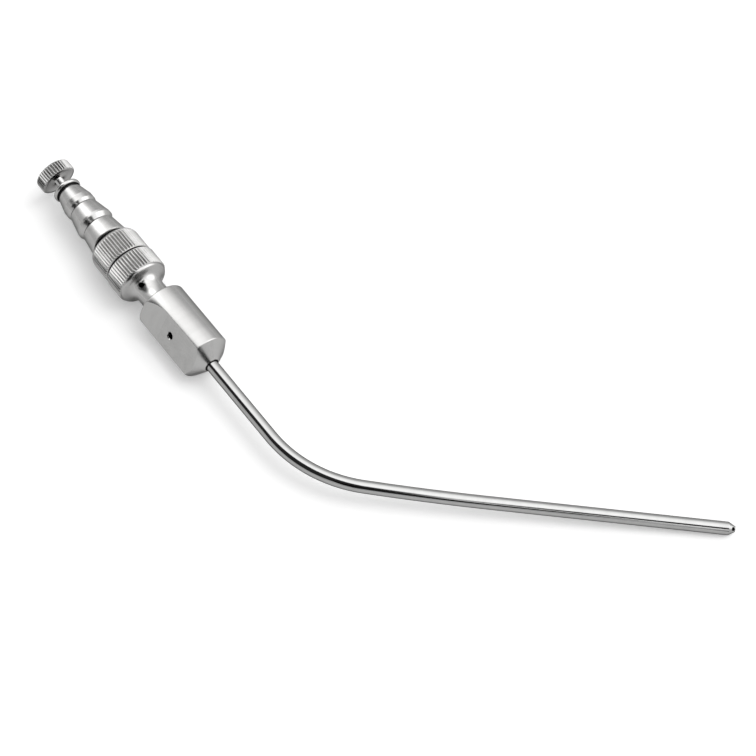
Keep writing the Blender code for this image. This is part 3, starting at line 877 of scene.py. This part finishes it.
# %% Greys
SATIN_GREY = (0.35, 0.348, 0.344)
FACED_GREY = (0.38, 0.378, 0.374)
POLISHED_GREY = (0.32, 0.32, 0.318)
# Painted shade: the near-black grey of faces deep in grooves and bores.
PAINTED_SHADE_GREY = (0.03, 0.03, 0.03)
HAZE_SIZE = 0.45
HAZE_DARKEST, HAZE_LIGHTEST = 0.9, 1.1
MARKS_LOW, MARKS_HIGH = 0.3, 0.7
SATIN_EDGE, POLISHED_EDGE = 0.35, 0.0
BROKEN_EDGE = 0.12 * MM
print("greys:", SATIN_GREY, FACED_GREY, POLISHED_GREY)

# %% Building a finish


def new_steel(name, edge=SATIN_EDGE):
    """Metal whose look is finished by the functions below. Edge tints it where it is seen along its face."""
    material = bpy.data.materials.new(name)
    material.use_nodes = True
    shader = material.node_tree.nodes["Principled BSDF"]
    shader.inputs["Metallic"].default_value = 1
    shader.inputs["Specular Tint"].default_value = (edge, edge, edge, 1)
    return material


def unlaid(tree, place):
    """Where a point was, in millimetres, before the given matrix laid the piece down."""
    turn = {"Location": place.translation, "Rotation": place.to_euler(), "Scale": (MM, MM, MM)}
    turn["Vector"] = new_node(tree, "TexCoord").outputs["Object"]
    return new_node(tree, "Mapping", turn, vector_type="TEXTURE").outputs[0]


def finish(material, position, grey, roughness, fineness, depth, out_of_shade=None):
    """Adds the marks of a tool: to the grey, to the roughness (lowest, highest) and to the surface."""
    tree = material.node_tree
    shader = tree.nodes["Principled BSDF"]
    wanted = {"Position": position, "Fineness": fineness, "Haze Size": HAZE_SIZE}
    made = new_node(tree, "Group", wanted, node_tree=marks).outputs
    darkest = (*(HAZE_DARKEST * value for value in grey), 1)
    lightest = (*(HAZE_LIGHTEST * value for value in grey), 1)
    mixed = {0: made["Haze"], 6: darkest, 7: lightest}
    tone = new_node(tree, "Mix", mixed, data_type="RGBA").outputs[2]
    # Painted shade: in a knurl's grooves the grey is mixed down to a near-black one.
    if out_of_shade:
        mixed = {0: out_of_shade, 6: (*PAINTED_SHADE_GREY, 1), 7: tone}
        tone = new_node(tree, "Mix", mixed, data_type="RGBA").outputs[2]
    tree.links.new(tone, shader.inputs["Base Color"])
    rough = ease(tree, made["Marks"], MARKS_LOW, MARKS_HIGH, *roughness)
    tree.links.new(rough, shader.inputs["Roughness"])
    rounded = new_node(tree, "Bevel", {"Radius": BROKEN_EDGE}, samples=4).outputs[0]
    bump = {"Height": made["Marks"], "Distance": depth * MM, "Normal": rounded}
    tree.links.new(new_node(tree, "Bump", bump).outputs[0], shader.inputs["Normal"])
    return material


# %% Steels of the turned pieces
LATHE_RINGS = (7, 7, 0)
CUT_DEPTH = 0.0012
KNURL_ROUGHNESS = (0.16, 0.26)


def turned_steel(name, grey=SATIN_GREY, roughness=(0.16, 0.25), place=LYING, crest=None):
    """Steel from the lathe, with rings round the axis. Given its crest, a knurl gets painted shade in its
    grooves.
    """
    material = new_steel(name)
    tree = material.node_tree
    on_lathe = new_node(tree, "Group", {"Position": unlaid(tree, place)}, node_tree=lathe).outputs
    out_of_shade = None
    if crest:
        measured = {"Radius": on_lathe["Radius"], "Crest": crest, "Depth": KNURL_DEPTH}
        out_of_shade = new_node(tree, "Group", measured, node_tree=knurls).outputs[0]
    return finish(material, on_lathe["Profile"], grey, roughness, LATHE_RINGS, CUT_DEPTH, out_of_shade)


satin = turned_steel("turned_steel")
faced = turned_steel("faced_steel", FACED_GREY, roughness=(0.12, 0.2))
# Painted shade: a dull near-black steel for faces deep in grooves and bores and at the tube's joint.
painted_shade = turned_steel("painted_shade_steel", PAINTED_SHADE_GREY, roughness=(0.5, 0.6))
rear_knurl = turned_steel("rear_knurl_steel", roughness=KNURL_ROUGHNESS, crest=REAR_COLLAR_RADIUS)
front_knurl = turned_steel("front_knurl_steel", roughness=KNURL_ROUGHNESS, crest=COLLAR_RADIUS)
knob_knurl = turned_steel("knob_steel", roughness=KNURL_ROUGHNESS, place=LYING @ LEAN, crest=KNOB_RADIUS)
turned_steels = (satin, faced, painted_shade, rear_knurl, front_knurl, knob_knurl)
print("turned:", ", ".join(steel.name for steel in turned_steels))

# %% Steels of the flats, the tube and the wire
MILL_STROKES = (1.5, 8, 8)
DRAWN_LINES = (0.12, 6, 0)
FINE_GRAIN = (3, 3, 3)
POLISH_DEPTH = 0.0006
GRAIN_DEPTH = 0.002

milled = new_steel("milled_steel")
laid = unlaid(milled.node_tree, LYING)
finish(milled, laid, SATIN_GREY, roughness=(0.24, 0.34), fineness=MILL_STROKES, depth=CUT_DEPTH)

polished = new_steel("polished_tube_steel", POLISHED_EDGE)
along_tube = new_node(polished.node_tree, "Attribute", attribute_name="tube_place").outputs["Vector"]
finish(polished, along_tube, POLISHED_GREY, roughness=(0.04, 0.09), fineness=DRAWN_LINES, depth=POLISH_DEPTH)

wire_steel = new_steel("wire_steel", POLISHED_EDGE)
laid = unlaid(wire_steel.node_tree, LYING)
finish(wire_steel, laid, POLISHED_GREY, roughness=(0.12, 0.25), fineness=FINE_GRAIN, depth=GRAIN_DEPTH)
print("others:", ", ".join(steel.name for steel in (milled, polished, wire_steel)))

# %% [markdown]
# ## Putting the finishes on
#
# A piece can carry several finishes, one for each kind of face. The faces are found by where they lie on
# the tool: deep in a groove or bore, where hardly any light comes, the steel is painted near black as
# painted shade, and the two flats are milled.

# %% Painting faces
NEAR = 0.01


def paint(piece, *finishes):
    """Gives a piece its main finish, then others to the faces that answer to a test.

    A test gets the middle of a face on the lathe, as (x, radius) in millimetres, and the face's normal.
    """
    back = LYING.inverted()
    piece.data.materials.clear()
    for index, (material, test) in enumerate(finishes):
        piece.data.materials.append(material)
        for face in piece.data.polygons:
            middle = back @ face.center / MM
            if test(middle.x, math.hypot(middle.y, middle.z), back.to_3x3() @ face.normal):
                face.material_index = index


def everywhere(x, r, normal):
    """Answers for every face."""
    return True


# %% Faces of the connector and the collars
groove_front = BARB_GROOVE_WIDTH + GROOVE_LIP[0][0]
# Painted shade in the lip groove, in the grooves behind the rims and under the collar.
paint(
    barbs,
    (satin, everywhere),
    (painted_shade, lambda x, r, n: LIP_FRONT - NEAR < x < CONES_REAR + NEAR),
    (painted_shade, lambda x, r, n: any(0 < x - front < groove_front for front in rim_fronts)),
    (painted_shade, lambda x, r, n: x > CONES_FRONT - NEAR),
)
# Painted shade in the groove between the collars and on the collars' inner faces.
paint(
    rear_collar,
    (rear_knurl, everywhere),
    (painted_shade, lambda x, r, n: x > REAR_COLLAR_FRONT + NEAR or r < SEAT_RADIUS),
)
paint(front_collar, (front_knurl, everywhere), (painted_shade, lambda x, r, n: r < SEAT_RADIUS))
print("dark grooves behind the rims, up to", round(groove_front, 2), "mm wide")

# %% Faces of the grip and the knob
FACED_FROM = -0.1
FACED_NORMAL = 0.5
PARALLEL = 0.999

flat_normal = Vector((0, -math.cos(FLAT_TURN), math.sin(FLAT_TURN)))
paint(
    grip,
    (satin, everywhere),
    (faced, lambda x, r, n: x > FACED_FROM and n.x > FACED_NORMAL),
    (milled, lambda x, r, n: abs(n.dot(flat_normal)) > PARALLEL),
    # Painted shade on the ring of the nose's end round the tube, which the tube reflects, and in the bore.
    (painted_shade, lambda x, r, n: x > NOSE_LENGTH - NEAR and r < JOINT_RADIUS),
    (painted_shade, lambda x, r, n: r < GRIP_BORE + NEAR and x < NOSE_LENGTH - NEAR),
)
paint(knob, (knob_knurl, everywhere))
print("milled faces:", sum(grip.data.materials[face.material_index] == milled for face in grip.data.polygons))

# %% [markdown]
# The tube is polished all over, but its mouth and the bore behind it are painted dark, as painted shade.
# The bore is found by its faces, which look at the axis. The wire keeps its solid and only gets its finish.

# %% Faces of the tube and the wire
TIP_REACH = 4
LOOKS_INWARDS = -0.1

paint(tube, (polished, everywhere))
# Painted shade in the mouth and in the bore near the tip.
tube.data.materials.append(painted_shade)
for face in tube.data.polygons:
    from_tip = LYING.inverted() @ face.center / MM - tip
    from_axis = from_tip - tip_heading * from_tip.dot(tip_heading)
    from_drill = (from_tip + tip_heading * MOUTH_DEPTH).cross(mouth_heading).length
    in_mouth = from_drill < MOUTH_RADIUS + NEAR
    in_bore = from_axis.dot(LYING.to_3x3().inverted() @ face.normal) < LOOKS_INWARDS
    if from_tip.length < TIP_REACH and (in_mouth or in_bore):
        face.material_index = 1
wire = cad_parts["stylet_wire"]
wire.material_slots[0].material = wire_steel
print("dark faces at the tip:", sum(face.material_index for face in tube.data.polygons))

# %% [markdown]
# The tube's drawn lines have to follow its bend. So each of its vertices gets an attribute that says how
# far along the tube it lies and how far round it, and the polished steel reads that attribute.

# %% The tube's own coordinates
BEND_START = NOSE_LENGTH + TUBE_STRAIGHT


def place_on_tube(point):
    """How far along the tube a point of its mesh lies, and how far round it, in millimetres."""
    x, y, z = LYING.inverted() @ point / MM
    turn = min(max(math.atan2(x - BEND_START, TUBE_BEND_RADIUS - y), 0), TUBE_BEND)
    heading = Vector((math.cos(turn), math.sin(turn)))
    start = Vector((BEND_START, 0)) + TUBE_BEND_RADIUS * Vector((math.sin(turn), 1 - math.cos(turn)))
    beyond = Vector((x, y)) - start
    aside = beyond.dot(Vector((-heading.y, heading.x)))
    along = BEND_START + TUBE_BEND_RADIUS * turn + beyond.dot(heading)
    return along, TUBE_RADIUS * math.atan2(z, aside), 0


tube_place = tube.data.attributes.new("tube_place", "FLOAT_VECTOR", "POINT")
for vertex, value in zip(tube.data.vertices, tube_place.data):
    value.vector = place_on_tube(vertex.co)
print(f"tube runs over {max(value.vector.x for value in tube_place.data):.1f} mm")

# %% [markdown]
# ## The table
#
# The tool lies on a white table that melts into the background, and only its shadow shows. The colour of
# the table is a plain pale grey. A little light of its own, which only the camera and reflections see,
# lifts it to white without more light on the tool. Where the shadow falls the table stays darker.

# %% Table
TABLE_SIZE = 8
TABLE_GREY = 0.88
TABLE_LIFT = 0.25

bpy.ops.object.select_all(action="DESELECT")
bpy.ops.mesh.primitive_plane_add(size=TABLE_SIZE)
table = bpy.context.object
table.name = "table"
print(f"table {TABLE_SIZE} m wide, {CAMERA_PLACE.z:.2f} m below the camera")

# %% White of the table


def seen_directly(tree):
    """A value that is one for what the camera, a reflection or a refraction sees."""
    path = new_node(tree, "LightPath").outputs
    first = {0: path["Is Camera Ray"], 1: path["Is Glossy Ray"]}
    either = new_node(tree, "Math", first, operation="ADD").outputs[0]
    both = {0: either, 1: path["Is Transmission Ray"]}
    return new_node(tree, "Math", both, operation="ADD", use_clamp=True).outputs[0]


white = bpy.data.materials.new("table_white")
white.use_nodes = True
tree = white.node_tree
shader = tree.nodes["Principled BSDF"]
shader.inputs["Base Color"].default_value = (TABLE_GREY, TABLE_GREY, TABLE_GREY, 1)
shader.inputs["Roughness"].default_value = 1
shader.inputs["Specular IOR Level"].default_value = 0
shader.inputs["Emission Color"].default_value = (1, 1, 1, 1)
lift = new_node(tree, "Math", {0: seen_directly(tree), 1: TABLE_LIFT}, operation="MULTIPLY").outputs[0]
tree.links.new(lift, shader.inputs["Emission Strength"])
table.data.materials.append(white)
print(f"table grey {TABLE_GREY}, lifted by {TABLE_LIFT} for the camera")

# %% [markdown]
# ## The studio
#
# Polished steel has hardly a look of its own: it shows what stands round it. In the photograph that is a
# broad soft light overhead that fades towards the horizon, brightest behind the tool, and dark shapes on
# the camera's side, which draw the black line along the tube. They are painted on the world by
# direction, with two helpers: a fade from the horizon up, and an oval patch at a compass direction and a
# height, both in degrees. Surfaces that aren't shiny only get a soft fill, strongest from behind the tool
# on its right, and one soft lamp from there. Together they cast the shadow to the lower left.

# %% Painting the sky by direction
BEHIND_ONE = 9


def fading(tree, toward, levels, top=(0, 0, 1)):
    """Grey that changes with the height of a direction, through the given levels at given degrees."""
    height = new_node(tree, "VectorMath", {0: toward, 1: top}, operation="DOT_PRODUCT").outputs["Value"]
    fade = new_node(tree, "ValToRGB", {0: height})
    for degrees, level in levels[1:-1]:
        fade.color_ramp.elements.new(math.sin(math.radians(degrees)))
    for stop, (degrees, level) in zip(fade.color_ramp.elements, levels):
        stop.color = (level, level, level, 1)
    fade.color_ramp.interpolation = "B_SPLINE"
    return fade.outputs[0]


def oval(tree, toward, azimuth, height, across, upright):
    """How far a direction is from the middle of an oval patch of the sky, whose rim is at one."""
    turn = Matrix.Rotation(math.radians(azimuth), 3, "Z") @ Matrix.Rotation(math.radians(90 - height), 3, "Y")
    size = (math.sin(math.radians(upright)), math.sin(math.radians(across)), 1)
    facing = {"Vector": toward, "Rotation": turn.to_euler(), "Scale": size}
    axes = new_node(tree, "Mapping", facing, vector_type="TEXTURE").outputs[0]
    axes = new_node(tree, "SeparateXYZ", {0: axes}).outputs
    aside = new_node(tree, "CombineXYZ", {"X": axes["X"], "Y": axes["Y"]}).outputs[0]
    away = new_node(tree, "VectorMath", {0: aside}, operation="LENGTH").outputs["Value"]
    behind = new_node(tree, "Math", {0: axes["Z"], 1: 0}, operation="LESS_THAN").outputs[0]
    turned_away = {0: behind, 1: BEHIND_ONE, 2: away}
    return new_node(tree, "Math", turned_away, operation="MULTIPLY_ADD").outputs[0]


# %% What the steel sees
OVERHEAD = 2.9
FADE = ((0, 0.42), (15, 0.27), (28, 0.44), (45, 0.8), (62, 0.9), (90, 1.0))
GLOW_BEHIND = (-172, 41, 24, 17)
GLOW_BEHIND_RIM = (0.3, 1.2)
GLOW_BEHIND_LEVEL = 2.2
GLOW_BEFORE = (66, 30, 54, 28)
GLOW_BEFORE_RIM = (0.35, 1.1)
GLOW_BEFORE_LEVEL = 1.95
DARK_PATCHES = ((-93, 51, 33, 32), (-50, 35, 15, 17), (-17, 55, 10, 14), (-12, 14, 20, 17))
DARK_LEVEL = 0.02
DARK_RIM = (0.92, 1.08)

world = bpy.data.worlds.new("studio")
bpy.context.scene.world = world
world.use_nodes = True
tree = world.node_tree
toward = new_node(tree, "TexCoord").outputs["Generated"]
fade = fading(tree, toward, FADE)
behind_tool = ease(tree, oval(tree, toward, *GLOW_BEHIND), *GLOW_BEHIND_RIM, GLOW_BEHIND_LEVEL, 0)
light = new_node(tree, "Math", {0: fade, 1: OVERHEAD, 2: behind_tool}, operation="MULTIPLY_ADD").outputs[0]
before_tool = ease(tree, oval(tree, toward, *GLOW_BEFORE), *GLOW_BEFORE_RIM, GLOW_BEFORE_LEVEL, 0)
light = new_node(tree, "Math", {0: light, 1: before_tool}, operation="ADD").outputs[0]
for patch in DARK_PATCHES:
    clear_of = ease(tree, oval(tree, toward, *patch), *DARK_RIM, DARK_LEVEL, 1)
    light = new_node(tree, "Math", {0: light, 1: clear_of}, operation="MULTIPLY").outputs[0]
studio = new_node(tree, "Background", {"Color": (1, 1, 1, 1), "Strength": light})
print(f"two glows and {len(DARK_PATCHES)} dark patches in a sky of strength {OVERHEAD}")

# %% Fill
LAMP_TOWARD = (0.23, 0.44, 0.87)
FILL = 1.76
FILL_FADE = ((0, 0.08), (25, 0.22), (50, 0.62), (75, 0.94), (90, 1.0))

fill = tree.nodes["Background"]
fill.inputs["Color"].default_value = (1, 1, 1, 1)
soft = fading(tree, toward, FILL_FADE, Vector(LAMP_TOWARD).normalized())
soft = new_node(tree, "Math", {0: soft, 1: FILL}, operation="MULTIPLY").outputs[0]
tree.links.new(soft, fill.inputs["Strength"])
shown = {0: seen_directly(tree), 1: fill.outputs[0], 2: studio.outputs[0]}
chosen = new_node(tree, "MixShader", shown).outputs[0]
tree.links.new(chosen, tree.nodes["World Output"].inputs["Surface"])
print(f"fill of strength {FILL} from", LAMP_TOWARD)

# %% [markdown]
# The lamp is a sun, as wide as a softbox looks from the tool. It stands where the fill is strongest, so
# that both cast one shadow. Shiny steel doesn't see it, because its light is in the sky already. The
# light that reaches the table is added up at the end, with about half of the fill in it: at about one, a
# colour renders as it is written.

# %% Lamp
LAMP_STRENGTH = 0.55
LAMP_WIDTH = math.radians(30)
FILL_ON_TABLE = 0.48

lamp_data = bpy.data.lights.new("side_lamp", "SUN")
lamp_data.energy = LAMP_STRENGTH
lamp_data.angle = LAMP_WIDTH
lamp = bpy.data.objects.new("side_lamp", lamp_data)
bpy.context.scene.collection.objects.link(lamp)
lamp.rotation_mode = "QUATERNION"
lamp.rotation_quaternion = Vector(LAMP_TOWARD).to_track_quat("Z", "Y")
lamp.visible_glossy = False
on_table = FILL_ON_TABLE * FILL + LAMP_STRENGTH * Vector(LAMP_TOWARD).normalized().z / math.pi
print(f"light on the table: {on_table:.2f}")

# %% [markdown]
# ## The view
#
# The Standard view shows colours as they are, without a film look.

# %% View
bpy.context.scene.view_settings.view_transform = "Standard"
